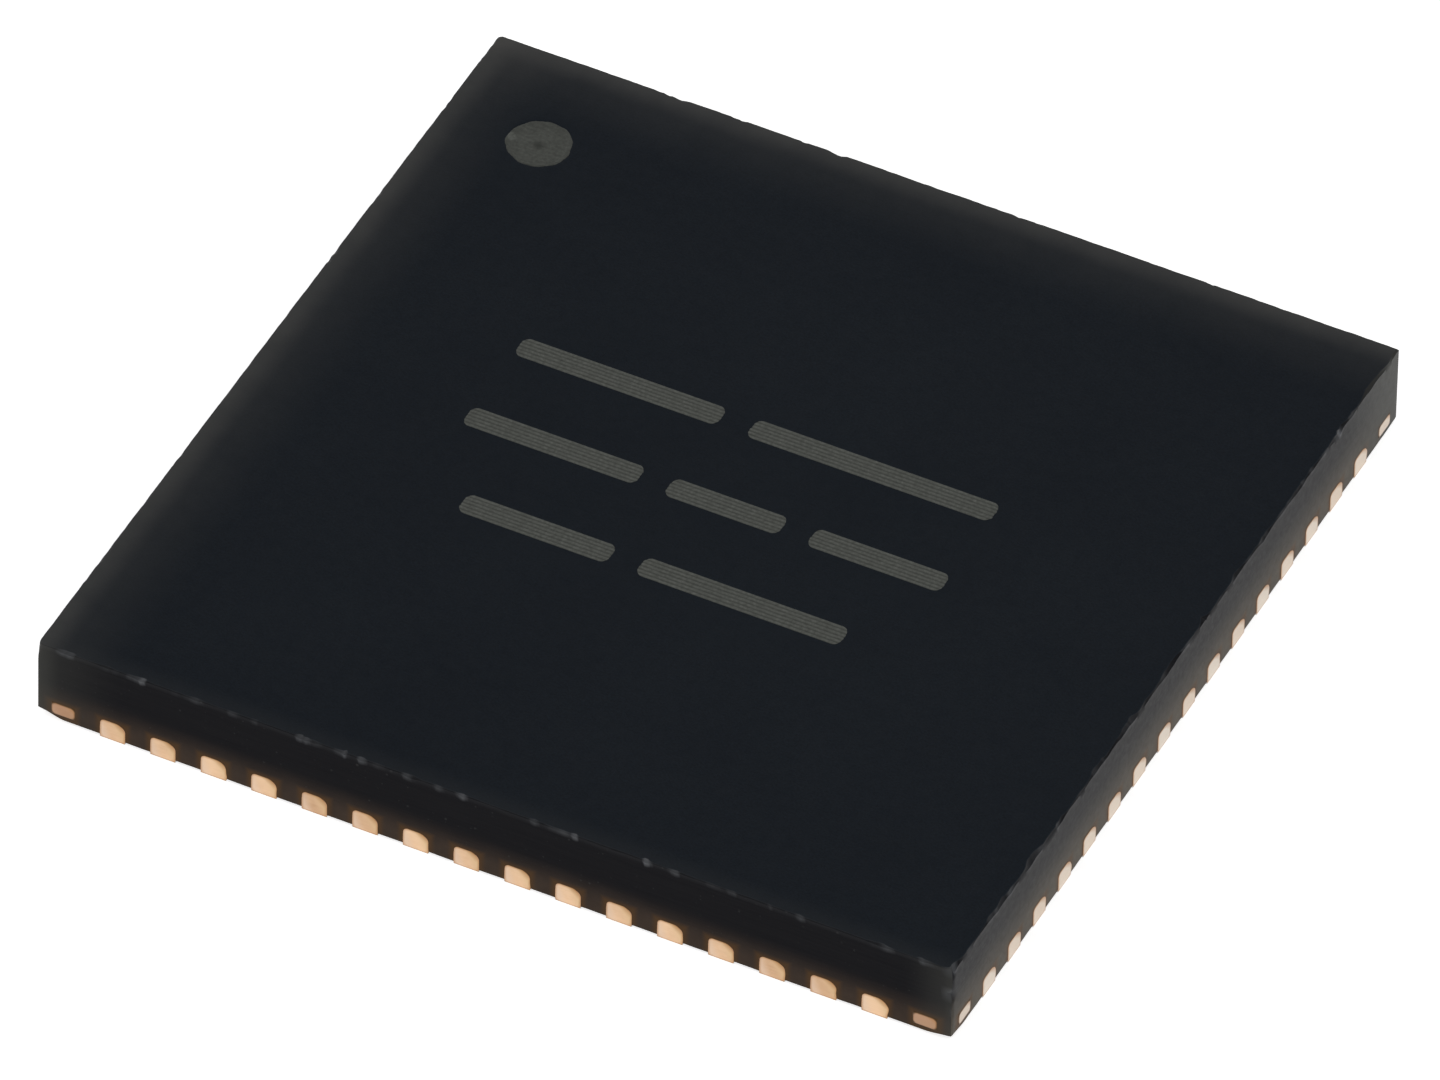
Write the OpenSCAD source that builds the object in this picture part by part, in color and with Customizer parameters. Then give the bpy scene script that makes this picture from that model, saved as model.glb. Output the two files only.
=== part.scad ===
// Microcontroller in a square, flat, leadless moulded package, in millimetres.
// The seating plane is z = 0. The first lead is at the north end of the west side.

/* [Leads] */
// Leads along each side
lead_count = 16; // [12:1:20]
// Distance from one lead to the next
pitch = 0.5; // [0.4:0.05:0.65]
// Distance from a body corner to the middle of the nearest lead
corner_margin = 0.75; // [0.65:0.05:1.2]
// Width of each lead
lead_w = 0.25; // [0.18:0.01:0.3]
// Length of the solder land under each lead
land_len = 0.4; // [0.3:0.05:0.6]
// Reach of the thin lead tip past its land
tip_reach = 0.15; // [0.05:0.05:0.25]
// Radius along the upper edges of each lead
lead_edge_r = 0.07; // [0.03:0.01:0.08]

/* [Copper sheet] */
// Thickness of the sheet that leads and die pad are etched from
sheet_t = 0.2; // [0.15:0.01:0.25]
// Depth etched away under the thin parts
etch_depth = 0.08; // [0.05:0.01:0.12]
// Gap etched between the tie bars and the leads
etch_gap = 0.1; // [0.05:0.01:0.15]

/* [Die pad] */
// Distance from the lands to the bare face of the pad
land_gap = 0.525; // [0.45:0.025:1]
// Overhang of the thin rim round the bare face
rim_w = 0.1; // [0.05:0.01:0.15]
// Corner radius of the bare face
pad_corner_r = 0.2; // [0.1:0.05:0.4]
// Cut across the pad corner beside the first lead
pad_chamfer = 0.45; // [0.3:0.05:0.6]
// Width of the tie bars
tie_w = 0.22; // [0.15:0.01:0.26]
// Distance from a body corner to the middle of each sawn tie bar end
tie_inset = 0.26; // [0.2:0.01:0.35]

/* [Moulding] */
// Height of the top face above the seating plane
body_h = 0.86; // [0.8:0.02:1.2]
// Height of the moulded underside above the seating plane
standoff = 0.02; // [0.01:0.005:0.04]
// Diameter of the round mark beside the first lead
mark_d = 0.6; // [0.3:0.05:1]
// Depth of the round mark
mark_depth = 0.02; // [0.01:0.005:0.05]
// Distance from the west side to the middle of the mark
mark_from_west = 0.98; // [0.7:0.02:2]
// Distance from the north side to the middle of the mark
mark_from_north = 1.14; // [0.7:0.02:2]

/* [Silicon die] */
// Size of the die from west to east
die_w = 4.6; // [3:0.1:4.8]
// Size of the die from south to north
die_l = 4.4; // [3:0.1:4.8]
// Thickness of the die
die_t = 0.25; // [0.15:0.01:0.3]
// Thickness of the glue under the die
glue_t = 0.025; // [0.015:0.005:0.05]
// Width of the glue fillet round the die
fillet_w = 0.12; // [0.05:0.01:0.2]
// Height of the glue fillet round the die
fillet_h = 0.1; // [0.06:0.01:0.14]
// Width of the flat top edge of the glue fillet
fillet_lip = 0.01; // [0.005:0.005:0.03]

/* [Bond wires] */
// Diameter of the wire
wire_d = 0.025; // [0.018:0.001:0.035]
// Diameter of the ball bond on the die
ball_d = 0.06; // [0.05:0.005:0.08]
// Height of the ball bond
ball_h = 0.02; // [0.01:0.005:0.03]
// Height of the wire loop above the die
loop_h = 0.14; // [0.1:0.01:0.18]
// Size of the bend at the top of the loop
loop_bend = 0.05; // [0.03:0.01:0.07]
// Distance from the die edge to the ball bonds
bond_inset = 0.09; // [0.06:0.01:0.2]
// Distance from the die corners to the nearest ball bonds
bond_margin = 0.35; // [0.2:0.05:0.6]
// Distance from the sawn lead end to the end of the wire
stitch_inset = 0.2; // [0.12:0.01:0.25]
// Length of wire pressed flat on the lead
stitch_len = 0.06; // [0.04:0.01:0.1]

/* [Hidden] */

$fn = 48;
overcut = 0.1;
wire_sides = 6;

// Sides in anticlockwise order
sides = ["south", "east", "north", "west"];

body_w = (lead_count - 1) * pitch + 2 * corner_margin;
half_w = body_w / 2;
pad_w = body_w - 2 * (land_len + land_gap);
top_edge_r = min(lead_edge_r, lead_w / 3);
glue_top = sheet_t + glue_t;
die_top = glue_top + die_t;
loop_top = die_top + loop_h;
wire_r = wire_d / 2;
wire_rest = sheet_t + wire_r * cos(180 / wire_sides);

mould_colour = "#1d2127";
copper_colour = "#c8976e";
silicon_colour = "#6d7680";
glue_colour = "#b9bcc0";
wire_colour = "#d9b26a";

// Place of lead i along its side, counted from the middle of the row
function lead_place(i) = (i - (lead_count - 1) / 2) * pitch;

// Place of ball bond i along an edge of the die
function bond_place(i, edge_len) =
    (i / (lead_count - 1) - 1 / 2) * (edge_len - 2 * bond_margin);

// Turn from the south side to the one named
function turn_to(side) = search([side], sides)[0] * 90;

// Size of the die along a side, and square to it
function along_x(side) = side == "south" || side == "north";
function die_edge_len(side) = along_x(side) ? die_w : die_l;
function die_depth(side) = along_x(side) ? die_l : die_w;

// Corner points of a wire: up from the ball, over the loop, down to the lead
function wire_route(span) = [
    [0, die_top],
    [0, die_top + ball_h],
    [0, loop_top - loop_bend],
    [loop_bend, loop_top],
    [span - stitch_len, wire_rest],
    [span, wire_rest]
];

// Slope of the stretch from one route point to the next
function slope(a, b) = atan2(b[1] - a[1], b[0] - a[0]);

// Ring of points square to the mean slope at a corner, widened so that the wire keeps its thickness
function ring(at, slope_in, slope_out, r) =
    let (mean = (slope_in + slope_out) / 2, widen = 1 / cos((slope_in - slope_out) / 2))
    [for (k = [0 : wire_sides - 1])
        let (a = k * 360 / wire_sides, up = r * sin(a) * widen)
        [at[0] - up * sin(mean), -r * cos(a), at[1] + up * cos(mean)]];

// Side faces between two neighbouring rings
function band(first) = [
    for (k = [0 : wire_sides - 1])
        let (next = (k + 1) % wire_sides)
        each [
            [first + k, first + wire_sides + next, first + wire_sides + k],
            [first + k, first + next, first + wire_sides + next]
        ]
];

// Tongue that runs inwards from y = 0 to a round end
module tongue_plan(width, length) {
    translate([-width / 2, 0])
        square([width, length - width / 2]);
    translate([0, length - width / 2])
        circle(d = width);
}

// Upright section of a lead: flat below, round at the two upper edges
module lead_section() {
    translate([-lead_w / 2, 0])
        square([lead_w, sheet_t - top_edge_r]);
    translate([-lead_w / 2 + top_edge_r, 0])
        square([lead_w - 2 * top_edge_r, sheet_t]);
    for (s = [-1, 1])
        translate([s * (lead_w / 2 - top_edge_r), sheet_t - top_edge_r])
            circle(r = top_edge_r);
}

// Two etched levels: the first child is the full sheet, the second reaches further but only above the etch
module etched_sheet() {
    linear_extrude(sheet_t)
        children(0);
    translate([0, 0, etch_depth])
        linear_extrude(sheet_t - etch_depth)
            children(1);
}

// One lead, sawn off at y = 0 and running inwards along +Y
module lead() {
    intersection() {
        translate([0, land_len + tip_reach, 0])
            rotate([90, 0, 0])
                linear_extrude(land_len + tip_reach)
                    lead_section();
        etched_sheet() {
            tongue_plan(lead_w, land_len);
            tongue_plan(lead_w, land_len + tip_reach);
        }
    }
}

// Tie bar to the north-east corner, forked so that it ends on both sides
module tie_bar_plan(spread = 0, run_out = 0) {
    fork = half_w - tie_inset;
    bar_w = tie_w + 2 * spread;
    start = pad_w / 2 - pad_chamfer;
    rotate(45)
        translate([start * sqrt(2), -bar_w / 2])
            square([(fork - start) * sqrt(2), bar_w]);
    translate([fork, fork])
        circle(d = bar_w);
    translate([fork, fork - bar_w / 2])
        square([tie_inset + run_out, bar_w]);
    translate([fork - bar_w / 2, fork])
        square([bar_w, tie_inset + run_out]);
}

// Round-cornered square with one corner cut straight beside the first lead
module pad_plan(width, corner_r, cut) {
    difference() {
        union() {
            square([width - 2 * corner_r, width], center = true);
            square([width, width - 2 * corner_r], center = true);
            for (x = [-1, 1], y = [-1, 1])
                translate([x, y] * (width / 2 - corner_r))
                    circle(r = corner_r);
        }
        translate([-width / 2, width / 2])
            rotate(45)
                square(cut * sqrt(2), center = true);
    }
}

module lead_row(side) {
    color(copper_colour)
        rotate(turn_to(side))
            difference() {
                for (i = [0 : lead_count - 1])
                    translate([lead_place(i), -half_w, 0])
                        lead();
                for (turn = [180, 270])
                    rotate(turn)
                        translate([0, 0, -overcut])
                            linear_extrude(sheet_t + 2 * overcut)
                                tie_bar_plan(etch_gap, overcut);
            }
}

module die_pad() {
    color(copper_colour)
        etched_sheet() {
            pad_plan(pad_w, pad_corner_r, pad_chamfer);
            union() {
                pad_plan(pad_w + 2 * rim_w, pad_corner_r + rim_w, pad_chamfer + rim_w);
                for (side = sides)
                    rotate(turn_to(side))
                        tie_bar_plan();
            }
        }
}

module silicon_die() {
    color(silicon_colour)
        translate([-die_w / 2, -die_l / 2, glue_top])
            cube([die_w, die_l, die_t]);
}

// Ridge with sloping flanks along Y, as wide at the top as the die and the fillet's lip
module glue_ridge(across, along) {
    foot = across / 2 + fillet_w;
    crest = across / 2 + fillet_lip;
    reach = along + 2 * fillet_w;
    translate([0, reach / 2, sheet_t])
        rotate([90, 0, 0])
            linear_extrude(reach)
                polygon([[-foot, 0], [foot, 0], [crest, fillet_h], [-crest, fillet_h]]);
}

module die_attach() {
    color(glue_colour)
        difference() {
            intersection() {
                glue_ridge(die_w, die_l);
                rotate(90)
                    glue_ridge(die_l, die_w);
            }
            silicon_die();
        }
}

// One wire in the XZ plane, from its ball at the origin's column to its stitch
module wire(span) {
    route = wire_route(span);
    last = len(route) - 1;
    rings = [for (k = [0 : last])
        ring(
            route[k],
            k == 0 ? 90 : slope(route[k - 1], route[k]),
            k == last ? 0 : slope(route[k], route[k + 1]),
            k == 0 ? ball_d / 2 : wire_r
        )];
    points = [for (one = rings) each one];
    foot_cap = [for (k = [wire_sides - 1 : -1 : 0]) k];
    end_cap = [for (k = [0 : wire_sides - 1]) last * wire_sides + k];
    bands = [for (k = [0 : last - 1]) each band(k * wire_sides)];
    polyhedron(points = points, faces = concat([foot_cap], bands, [end_cap]));
}

module wire_row(side) {
    color(wire_colour)
        rotate(turn_to(side))
            for (i = [0 : lead_count - 1]) {
                ball = [bond_place(i, die_edge_len(side)), -die_depth(side) / 2 + bond_inset];
                stitch = [lead_place(i), -half_w + stitch_inset];
                run = stitch - ball;
                translate(ball)
                    rotate(atan2(run[1], run[0]))
                        wire(norm(run));
            }
}

module mould_body() {
    color(mould_colour)
        difference() {
            translate([-half_w, -half_w, standoff])
                cube([body_w, body_w, body_h - standoff]);
            translate([-half_w + mark_from_west, half_w - mark_from_north, body_h - mark_depth])
                cylinder(d = mark_d, h = mark_depth + overcut);
            die_pad();
            die_attach();
            silicon_die();
            for (side = sides) {
                lead_row(side);
                wire_row(side);
            }
        }
}

mould_body();
die_pad();
lead_row("west");  // leads_west
lead_row("south");  // leads_south
lead_row("east");  // leads_east
lead_row("north");  // leads_north
silicon_die();
die_attach();
wire_row("west");  // wires_west
wire_row("south");  // wires_south
wire_row("east");  // wires_east
wire_row("north");  // wires_north
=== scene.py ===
import math

import bpy
import numpy as np
from mathutils import Matrix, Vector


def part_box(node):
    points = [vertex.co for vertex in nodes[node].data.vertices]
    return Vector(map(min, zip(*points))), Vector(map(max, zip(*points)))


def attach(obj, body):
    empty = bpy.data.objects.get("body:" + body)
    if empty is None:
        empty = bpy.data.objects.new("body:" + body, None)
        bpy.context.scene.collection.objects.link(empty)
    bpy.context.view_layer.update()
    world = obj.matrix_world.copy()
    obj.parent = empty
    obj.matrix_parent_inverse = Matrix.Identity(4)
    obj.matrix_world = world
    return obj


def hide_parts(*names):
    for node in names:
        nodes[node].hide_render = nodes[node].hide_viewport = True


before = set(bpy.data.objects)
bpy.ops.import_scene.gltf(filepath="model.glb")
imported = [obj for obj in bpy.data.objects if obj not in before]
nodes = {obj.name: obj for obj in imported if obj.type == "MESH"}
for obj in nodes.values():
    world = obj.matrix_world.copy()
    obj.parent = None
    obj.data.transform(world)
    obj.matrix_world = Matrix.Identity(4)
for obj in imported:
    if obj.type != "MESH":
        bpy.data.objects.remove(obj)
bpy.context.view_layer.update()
mm = 0.001  # one millimetre in scene units; lengths are in millimetres unless a note says otherwise

# driving sizes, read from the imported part
mouldLow, mouldHigh = (np.array(corner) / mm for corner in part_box("mould_body"))
rowLow, rowHigh = (np.array(corner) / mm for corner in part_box("leads_south"))
halfSide = mouldHigh[0]
topHeight = mouldHigh[2]
underHeight = mouldLow[2]
leadTop = rowHigh[2]
print(f"frame: side {2 * halfSide:.2f} mm, top at {topHeight:.2f} mm, lead ends {leadTop:.2f} mm high")


# Camera and light

cameraFit = dict(
    azimuth=25.68,  # degrees round from the south side
    elevation=43.20,
    roll=1.31,
    distance=259.1,  # from the origin
    asideRight=-0.007,  # sideways steps of the camera
    asideUp=0.226,
    lens=729.3,
    sensor=36,
    clip=(0.01, 10),  # nearest and farthest, in metres
)

studio = dict(
    sky=((0, 1.0), (0.3, 0.75), (0.65, 0.5), (1, 0.42)),  # rise above the horizon and brightness there
    floorGlow=0.72,
    floorColour=(0.86, 0.86, 0.86),
    floorHalf=600,
    floorDrop=0.001,
    boxPlace=(-150, -60, 260),  # soft box
    boxSide=160,
    boxPower=0.05,
)


def addObject(name, data):
    # an object at the origin, unturned
    thing = bpy.data.objects.new(name, data)
    bpy.context.scene.collection.objects.link(thing)
    return thing


def placeCamera(fit):
    # back points from the object to the camera; right and up are turned about it by the roll
    azimuth, elevation, roll = (math.radians(fit[key]) for key in ("azimuth", "elevation", "roll"))
    back = np.array([
        math.sin(azimuth) * math.cos(elevation),
        -math.cos(azimuth) * math.cos(elevation),
        math.sin(elevation),
    ])
    level = np.array([math.cos(azimuth), math.sin(azimuth), 0])
    upright = np.cross(back, level)
    right = math.cos(roll) * level + math.sin(roll) * upright
    up = -math.sin(roll) * level + math.cos(roll) * upright
    place = (back * fit["distance"] + right * fit["asideRight"] + up * fit["asideUp"]) * mm
    lens = bpy.data.cameras.new("photoCamera")
    lens.lens = fit["lens"]
    lens.sensor_width = fit["sensor"]
    lens.clip_start, lens.clip_end = fit["clip"]
    camera = addObject("photoCamera", lens)
    turn = np.eye(4)
    turn[:3] = np.column_stack([right, up, back, place])
    camera.matrix_world = Matrix(turn.tolist())
    bpy.context.scene.camera = camera


def addNode(tree, kind, inputs=None, **settings):
    # inputs are sockets to link or plain values, by name or number
    node = tree.nodes.new("ShaderNode" + kind)
    for key, value in settings.items():
        setattr(node, key, value)
    for key, value in (inputs or {}).items():
        if isinstance(value, bpy.types.NodeSocket):
            tree.links.new(value, node.inputs[key])
        else:
            node.inputs[key].default_value = value
    return node


def colourRamp(tree, factor, stops):
    # stops are (place, colour) pairs, joined by straight blends
    node = addNode(tree, "ValToRGB", {"Fac": factor})
    points = node.color_ramp.elements
    while len(points) < len(stops):
        points.new(0.5)
    for point, (place, colour) in zip(points, stops):
        point.position = place
        point.color = (*colour, 1)
    return node.outputs["Color"]


def greyRamp(tree, factor, stops):
    # stops are (place, brightness) pairs
    return colourRamp(tree, factor, [(place, (bright,) * 3) for place, bright in stops])


def newMaterial(name, sockets):
    # a material whose shader has these plain values
    material = bpy.data.materials.new(name)
    material.use_nodes = True
    shader = material.node_tree.nodes["Principled BSDF"]
    for key, value in sockets.items():
        shader.inputs[key].default_value = value
    return material


def lightStudio(look):
    # a sky that darkens towards the zenith, a pale floor and one soft box on the left
    scene = bpy.context.scene
    scene.view_settings.view_transform = "Standard"
    world = bpy.data.worlds.new("studioSky")
    scene.world = world
    world.use_nodes = True
    tree = world.node_tree
    direction = addNode(tree, "TexCoord").outputs["Generated"]
    rise = addNode(tree, "SeparateXYZ", {"Vector": direction}).outputs["Z"]
    tree.links.new(greyRamp(tree, rise, look["sky"]), tree.nodes["Background"].inputs["Color"])

    half, drop = look["floorHalf"] * mm, -look["floorDrop"] * mm
    sheet = bpy.data.meshes.new("studioFloor")
    corners = [(-half, -half, drop), (half, -half, drop), (half, half, drop), (-half, half, drop)]
    sheet.from_pydata(corners, [], [(0, 1, 2, 3)])
    floorPaint = newMaterial("floorPaint", {
        "Base Color": (*look["floorColour"], 1),
        "Roughness": 1,
        "Specular IOR Level": 0,
        "Emission Color": (1, 1, 1, 1),
        "Emission Strength": look["floorGlow"],
    })
    sheet.materials.append(floorPaint)
    floor = addObject("studioFloor", sheet)

    lamp = bpy.data.lights.new("softBox", "AREA")
    lamp.size = look["boxSide"] * mm
    lamp.energy = look["boxPower"]
    box = addObject("softBox", lamp)
    box.location = [value * mm for value in look["boxPlace"]]
    box.rotation_mode = "QUATERNION"
    box.rotation_quaternion = box.location.to_track_quat("Z", "Y")  # faces the origin


placeCamera(cameraFit)
lightStudio(studio)
print("stage: camera, sky, soft box and floor placed")


# Tools for meshes

def makePiece(name, points, faceGroups, materials, values, sharpAngle=180):
    # points in millimetres; a face group is (faces, number of its material); values are per-point numbers
    mesh = bpy.data.meshes.new(name)
    faces = [face for group, number in faceGroups for face in np.asarray(group).tolist()]
    mesh.from_pydata((np.asarray(points) * mm).tolist(), [], faces)
    numbers = np.concatenate([np.full(len(group), number) for group, number in faceGroups])
    mesh.polygons.foreach_set("material_index", numbers.astype(np.int32))
    for material in materials:
        mesh.materials.append(material)
    for key, value in values.items():
        attribute = mesh.attributes.new(key, "FLOAT", "POINT")
        attribute.data.foreach_set("value", np.asarray(value, np.float32).ravel())
    mesh.shade_smooth()
    mesh.set_sharp_from_angle(angle=math.radians(sharpAngle))
    mesh.update()
    piece = addObject(name, mesh)
    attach(piece, "root")
    return piece


def gridFaces(rows, columns, first=0, wrap=False, flip=False):
    # four corner numbers for each cell of a grid of points, stored row by row
    number = first + np.arange(rows * columns).reshape(rows, columns)
    if wrap:
        number = np.hstack([number, number[:, :1]])
    cells = np.stack([number[:-1, :-1], number[1:, :-1], number[1:, 1:], number[:-1, 1:]], -1).reshape(-1, 4)
    return cells[:, ::-1] if flip else cells


def gridOutline(rows, columns, first=0):
    # numbers of a grid's outer points, once round: first row, last column, last row, first column
    number = first + np.arange(rows * columns).reshape(rows, columns)
    return np.concatenate([number[0, :-1], number[:-1, -1], number[-1, :0:-1], number[:0:-1, 0]])


def joinPoints(*parts):
    # arrays of points, one below the other
    return np.concatenate([part.reshape(-1, 3) for part in parts])


def smoothStep(value):
    # 0 below 0, 1 above 1, and 3t2 - 2t3 between
    t = np.clip(value, 0, 1)
    return t * t * (3 - 2 * t)


# Moulding: one closed skin of moulded top, broken edges, sawn sides and moulded underside

mouldShape = dict(
    setBack=0.002,  # sawn mould lies this far behind the sawn copper
    # upright edges, as radius and extra break at the foot, from the south-west corner anticlockwise
    corners=((0.015, 0.06), (0.02, 0.03), (0.006, 0.01), (0.05, 0.01)),
    cornerReach=0.28,
    leastRadius=0.001,
    # bites out of the upright edges: number of the corner, height, half height, depth, brightness
    cornerBites=(
        (0, 0.86, 0.17, 0.05, 0.0), (1, 0.55, 0.07, 0.10, 0.45), (1, 0.86, 0.09, 0.10, 0.4),
        (1, 0.33, 0.05, 0.03, 0.2), (3, 0.60, 0.08, 0.03, 0.3),
    ),
    bandWidth=0.45,  # strip of fine cells inside each edge
    bandEnd=0.5,  # inset where the coarse cells begin
    coarseCell=0.13,
    fineCell=0.022,  # round the mark
    fineReach=1.25,  # of the mark's radius
    lineSamples=6001,  # places where the wanted cells are added up
    splits=5,  # edge cells for each cell of the top beside them
    topInsets=(0.45, 0.3, 0.19, 0.11, 0.06, 0.03, 0.012),  # rows of points inside the upper edge
    sideRows=15,
    underInsets=(0.02, 0.06, 0.16, 0.45),  # rows of points inside the lower edge
    rollOff=0.004,  # drop of the top towards its edges
    rollReach=0.3,
    kink=(0.62, 0.6),  # middle of the broken edge, as shares of its reach inwards and downwards
    leastBreak=0.003,
    ragged=(0.006, 0.036, 0.006, 0.007),  # break along the south, east, north and west edges
    raggedStep=0.13,
    fineRagged=0.004,
    fineStep=0.045,
    lowLeast=0.002,  # break along the lower edges
    lowRagged=0.004,
    sideWave=0.0015,
    sideWaveStep=0.6,
    bitesPerSide=34,
    biteHalf=(0.02, 0.11),  # half width, shortest and longest
    biteDepth=(0.003, 0.02),
    biteRarity=3,  # power that makes deep bites rare
    biteFall=0.8,  # power of the fall from the peak to the ends
    biteBright=(0.1, 0.45),
    bitePeak=(-0.6, 0.6),  # place of the peak between the two ends
    biteLean=(0.4, 1.3),  # reach inwards, as a share of the depth
    biteFlaw=(0.6, 0.8),  # least share of a bite that is left, and what a ragged line adds to it
    # larger bites along the south edge: place, half width, depth, brightness
    southBites=(
        (-4.23, 0.10, 0.022, 0.55), (-3.56, 0.07, 0.014, 0.45), (-3.47, 0.035, 0.026, 1.0),
        (-2.95, 0.10, 0.012, 0.35), (-2.57, 0.06, 0.010, 0.35), (-1.92, 0.03, 0.020, 0.6),
        (-1.84, 0.05, 0.018, 0.5), (-1.47, 0.03, 0.022, 0.7), (-1.29, 0.045, 0.018, 0.6),
        (-0.85, 0.05, 0.014, 0.45), (-0.54, 0.05, 0.012, 0.4), (-0.31, 0.05, 0.020, 0.7),
        (0.40, 0.05, 0.010, 0.4), (0.80, 0.03, 0.022, 1.0), (1.51, 0.04, 0.024, 1.0),
        (1.77, 0.06, 0.014, 0.5), (3.00, 0.05, 0.012, 0.45), (3.85, 0.08, 0.012, 0.4),
        (4.24, 0.09, 0.016, 0.45),
    ),
    eastBites=((3.29, 0.04, 0.022, 1.0), (-4.46, 0.06, 0.03, 0.7)),
    edgeTone=0.08,  # brightness of the broken edge where no bite lies: paler fractured epoxy, and partly a painted highlight
    sharpAngle=32,  # degrees, creases show above this
    seed=11,
)

firstMark = dict(
    fromWest=0.98,
    fromNorth=1.14,
    radius=0.28,  # to the middle of the wall
    depth=0.02,
    wall=0.045,
    lobes=((11, 0.012, 0.4), (5, 0.012, 1.9), (3, 0.015, 2.6)),  # waves round it, their share and start
)


def markOutline(angle, mark):
    # radius of the round mark: a circle with a few waves laid round it
    waves = sum(share * np.cos(count * angle + start) for count, share, start in mark["lobes"])
    return mark["radius"] * (1 + waves)


def markMiddle(mark):
    # place of the mark on the top, from the west and the north edge
    return np.array([-halfSide + mark["fromWest"], halfSide - mark["fromNorth"]])


def topSurface(x, y, mark):
    # height of the top: flat, less the recess of the mark, whose wall is a smooth step
    dx, dy = x - markMiddle(mark)[0], y - markMiddle(mark)[1]
    inside = markOutline(np.arctan2(dy, dx), mark) - np.hypot(dx, dy)
    return topHeight - mark["depth"] * smoothStep(inside / mark["wall"] + 0.5)


def cellLines(half, dense, reach, shape):
    # cell borders from -half to half, placed where the wanted count of cells adds up to whole numbers
    at = np.linspace(-half, half, shape["lineSamples"])
    wanted = np.where(np.abs(at - dense) < reach, 1 / shape["fineCell"], 1 / shape["coarseCell"])
    total = np.concatenate([[0], np.cumsum((wanted[1:] + wanted[:-1]) / 2 * np.diff(at))])
    return np.interp(np.linspace(0, total[-1], round(total[-1]) + 1), total, at)


def splitCells(line, splits):
    # cell borders with each cell cut into equal shares
    return np.interp(np.arange((len(line) - 1) * splits + 1) / splits, np.arange(len(line)), line)


def squareLoop(alongX, alongY):
    # points once round a square of half width 1, anticlockwise from the south-west corner
    south, north = (np.column_stack([alongX, np.full(len(alongX), y)]) for y in (-1.0, 1.0))
    west, east = (np.column_stack([np.full(len(alongY), x), alongY]) for x in (-1.0, 1.0))
    return np.concatenate([south[:-1], east[:-1], north[:0:-1], west[:0:-1]])


def roundCorners(flat, half, radius):
    # points of a square outline pulled in so that each corner becomes an arc of the given radius
    core = np.clip(flat, -(half - radius)[..., None], (half - radius)[..., None])
    reach = flat - core
    wide = np.abs(reach).max(-1)
    far = np.maximum(np.linalg.norm(reach, axis=-1), 1e-9)
    return core + reach * (wide / far)[..., None]


def raggedLine(place, length, step, rng):
    # random heights from 0 to 1 at even steps round a closed line, joined by straight stretches
    count = round(length / step)
    heights = rng.random(count)
    return np.interp(place, np.linspace(0, length, count + 1), np.append(heights, heights[0]))


def edgeBites(place, length, shape, rng):
    # Reach of many bites at each place round the edge, inwards and downwards, and their brightness. A bite
    # falls off from its peak to its two ends by a power of the way, over stretches of different lengths.
    side = length / 4
    count = 4 * shape["bitesPerSide"]
    shallowest, deepest = shape["biteDepth"]
    small = np.column_stack([
        rng.random(count) * length,
        rng.uniform(*shape["biteHalf"], count),
        shallowest + (deepest - shallowest) * rng.random(count) ** shape["biteRarity"],
        rng.uniform(*shape["biteBright"], count),
    ])
    # listed places count from the middle of their side
    south = np.array(shape["southBites"]) + [side / 2, 0, 0, 0]
    east = np.array(shape["eastBites"]) + [side * 1.5, 0, 0, 0]
    middle, half, depth, bright = np.concatenate([small, south, east]).T
    least, most = zip(shape["bitePeak"], shape["biteLean"])
    peak, lean = rng.uniform(least, most, (len(middle), 2)).T
    t = ((place[:, None] - middle + length / 2) % length - length / 2) / half
    fall = np.where(t < peak, (peak - t) / (1 + peak), (t - peak) / (1 - peak))
    share = np.clip(1 - fall, 0, None) ** shape["biteFall"]
    return (share * depth * lean).max(1), (share * depth).max(1), (np.sqrt(share) * bright).max(1)


def roughBreak(place, length, shape, rng):
    # the least break, plus the square of a coarse ragged line, each side with its own reach, plus a fine one
    reach = np.array(shape["ragged"])[np.minimum(place / length * 4, 3).astype(int)]
    coarse = reach * raggedLine(place, length, shape["raggedStep"], rng) ** 2
    fine = shape["fineRagged"] * raggedLine(place, length, shape["fineStep"], rng)
    return shape["leastBreak"] + coarse + fine


def edgeBreaks(place, length, shape, rng):
    # how far the break reaches in over the top and down the side: rough lines plus the bites
    roughIn = roughBreak(place, length, shape, rng)
    roughDown = roughBreak(place, length, shape, rng)
    inward, downward, bright = edgeBites(place, length, shape, rng)
    least, more = shape["biteFlaw"]
    flaw = least + more * raggedLine(place, length, shape["fineStep"], rng)
    return roughIn + inward * flaw, roughDown + downward * flaw, bright * np.minimum(flaw, 1)


def nearestCorner(loop, half):
    # numbers of the corners, anticlockwise from the south-west one, and the way to them along the side
    number = np.where(loop[:, 1] < 0, np.where(loop[:, 0] < 0, 0, 1), np.where(loop[:, 0] > 0, 2, 3))
    return number, (1 - np.abs(loop).min(1)) * half


def cornerFoot(loop, half, shape):
    # extra break at the foot of the upright edges, which fades along the sides by a smooth step
    nearest, away = nearestCorner(loop, half)
    foot = np.array([low for radius, low in shape["corners"]])[nearest]
    return foot * smoothStep(1 - away / shape["cornerReach"])


def cornerRadii(loop, heights, half, shape):
    # Radius of the nearest upright edge, larger where a bite lies, and the brightness of the bite: each falls
    # off straight up and down, and the brightness also along the sides.
    nearest, away = nearestCorner(loop, half)
    radius = np.array([wide for wide, low in shape["corners"]])[nearest] + 0 * heights
    tone = 0 * heights
    for corner, height, halfHeight, depth, bright in shape["cornerBites"]:
        share = (nearest == corner) * np.clip(1 - np.abs(heights - height) / halfHeight, 0, 1)
        radius = radius + share * depth
        tone = np.maximum(tone, bright * np.sqrt(share * np.clip(1 - away / depth, 0, 1)))
    return radius, tone


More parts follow.
